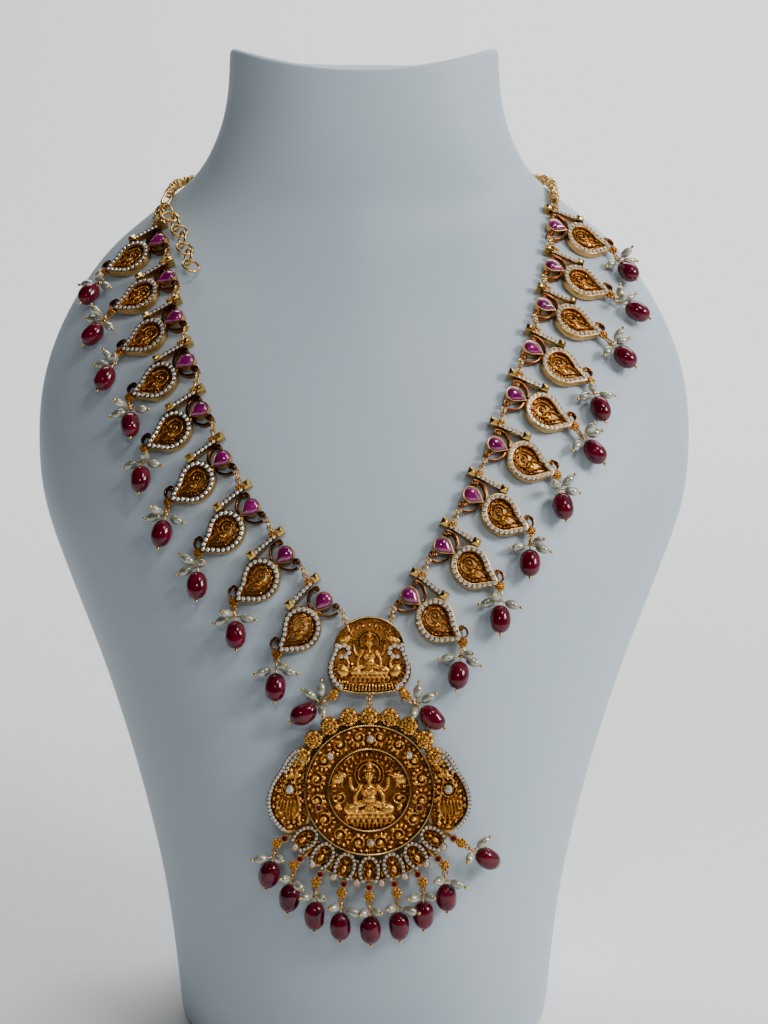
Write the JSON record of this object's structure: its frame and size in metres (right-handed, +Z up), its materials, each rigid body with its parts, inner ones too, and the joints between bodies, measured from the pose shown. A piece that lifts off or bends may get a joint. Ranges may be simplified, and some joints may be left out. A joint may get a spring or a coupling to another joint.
{
  "type": "temple jewellery necklace on neck bust",
  "caption": "Long antique-gold temple necklace of paisley links with pink cabochons, ruby and pearl drops and two deity pendants, laid on a plain neck bust.",
  "frame": {"origin": "on the floor under the middle of the bust's foot", "axes": "+Z up along the bust, -Y the front that carries the pendants, +X the right-hand side in the picture"},
  "size_m": [0.2394, 0.1792, 0.3441],
  "materials": {
    "gold_plated_metal": "antique gold plate, dark in the recesses",
    "cabochon_glass": "polished pink cabochon over foil",
    "ruby_bead_glass": "polished wine-red bead",
    "pearl": "nacreous rice pearl",
    "bust_plastic": "satin pale grey"
  },
  "bodies": {
    "root": {"bust": "bust_plastic", "small_pendant": "gold_plated_metal", "main_pendant": "gold_plated_metal", "pendant_bail": "gold_plated_metal", "motif_link_right_1": "gold_plated_metal", "motif_link_right_2": "gold_plated_metal", "motif_link_right_3": "gold_plated_metal", "motif_link_right_4": "gold_plated_metal", "motif_link_right_5": "gold_plated_metal", "motif_link_right_6": "gold_plated_metal", "motif_link_right_7": "gold_plated_metal", "motif_link_right_8": "gold_plated_metal", "motif_link_right_9": "gold_plated_metal", "motif_link_left_1": "gold_plated_metal", "motif_link_left_2": "gold_plated_metal", "motif_link_left_3": "gold_plated_metal", "motif_link_left_4": "gold_plated_metal", "motif_link_left_5": "gold_plated_metal", "motif_link_left_6": "gold_plated_metal", "motif_link_left_7": "gold_plated_metal", "motif_link_left_8": "gold_plated_metal", "motif_link_left_9": "gold_plated_metal", "ruby_cabochon_right_1": "cabochon_glass", "ruby_cabochon_right_2": "cabochon_glass", "ruby_cabochon_right_3": "cabochon_glass", "ruby_cabochon_right_4": "cabochon_glass", "ruby_cabochon_right_5": "cabochon_glass", "ruby_cabochon_right_6": "cabochon_glass", "ruby_cabochon_right_7": "cabochon_glass", "ruby_cabochon_right_8": "cabochon_glass", "ruby_cabochon_right_9": "cabochon_glass", "ruby_cabochon_left_1": "cabochon_glass", "ruby_cabochon_left_2": "cabochon_glass", "ruby_cabochon_left_3": "cabochon_glass", "ruby_cabochon_left_4": "cabochon_glass", "ruby_cabochon_left_5": "cabochon_glass", "ruby_cabochon_left_6": "cabochon_glass", "ruby_cabochon_left_7": "cabochon_glass", "ruby_cabochon_left_8": "cabochon_glass", "ruby_cabochon_left_9": "cabochon_glass", "link_rings_right": "gold_plated_metal", "link_rings_left": "gold_plated_metal", "drop_pins_right": "gold_plated_metal", "drop_pins_left": "gold_plated_metal", "drop_rubies_right": "ruby_bead_glass", "drop_rubies_left": "ruby_bead_glass", "drop_pearls_right": "pearl", "drop_pearls_left": "pearl", "fan_pins": "gold_plated_metal", "fan_rubies": "ruby_bead_glass", "fan_pearls": "pearl", "back_chain_left": "gold_plated_metal", "back_chain_right": "gold_plated_metal", "clasp_hook": "gold_plated_metal", "extender_rings": "gold_plated_metal"}
  },
  "joints": []
}
